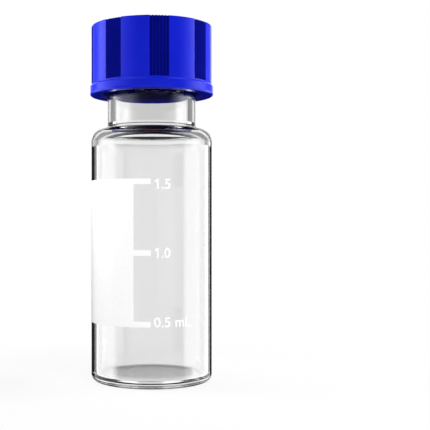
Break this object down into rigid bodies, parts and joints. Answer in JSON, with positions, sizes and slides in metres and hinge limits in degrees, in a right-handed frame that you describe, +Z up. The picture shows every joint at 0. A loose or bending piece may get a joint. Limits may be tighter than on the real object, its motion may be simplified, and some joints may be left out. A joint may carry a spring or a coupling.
{
  "type": "glass sample vial",
  "caption": "Clear glass screw-neck sample vial with a white writing panel and graduation marks, closed by a knurled blue screw cap with a needle hole over a two-layer septum.",
  "frame": {"origin": "middle of the flat base that the vial stands on", "axes": "+Z up the axis to the cap; the front, -Y, faces the scale's marks, whose figures read towards +X"},
  "size_m": [0.0118, 0.0118, 0.034],
  "materials": {
    "clear_glass": "clear, fire-polished borosilicate glass",
    "white_enamel": "satin fired enamel, a few hundredths of a millimetre thick",
    "blue_polypropylene": "satin moulded polypropylene",
    "white_silicone": "matt silicone rubber",
    "red_ptfe": "smooth waxy PTFE film"
  },
  "bodies": {
    "vial": {"glass_vial": "clear_glass", "enamel_print": "white_enamel"},
    "septum": {"septum_silicone": "white_silicone", "septum_ptfe": "red_ptfe"},
    "cap": {"screw_cap": "blue_polypropylene"}
  },
  "joints": [
    {"name": "cap_lift", "type": "slide", "parent": "vial", "child": "septum", "axis": [0, 0, 1], "range_m": [0, 0.0063]},
    {"name": "cap_turn", "type": "hinge", "parent": "septum", "child": "cap", "pos_m": [0, 0, 0.03], "axis": [0, 0, 1], "range_deg": [0, 1260]}
  ],
  "couplings": [
    {"joint": "cap_turn", "follows": "cap_lift", "rad_per_m": 3490.7}
  ]
}
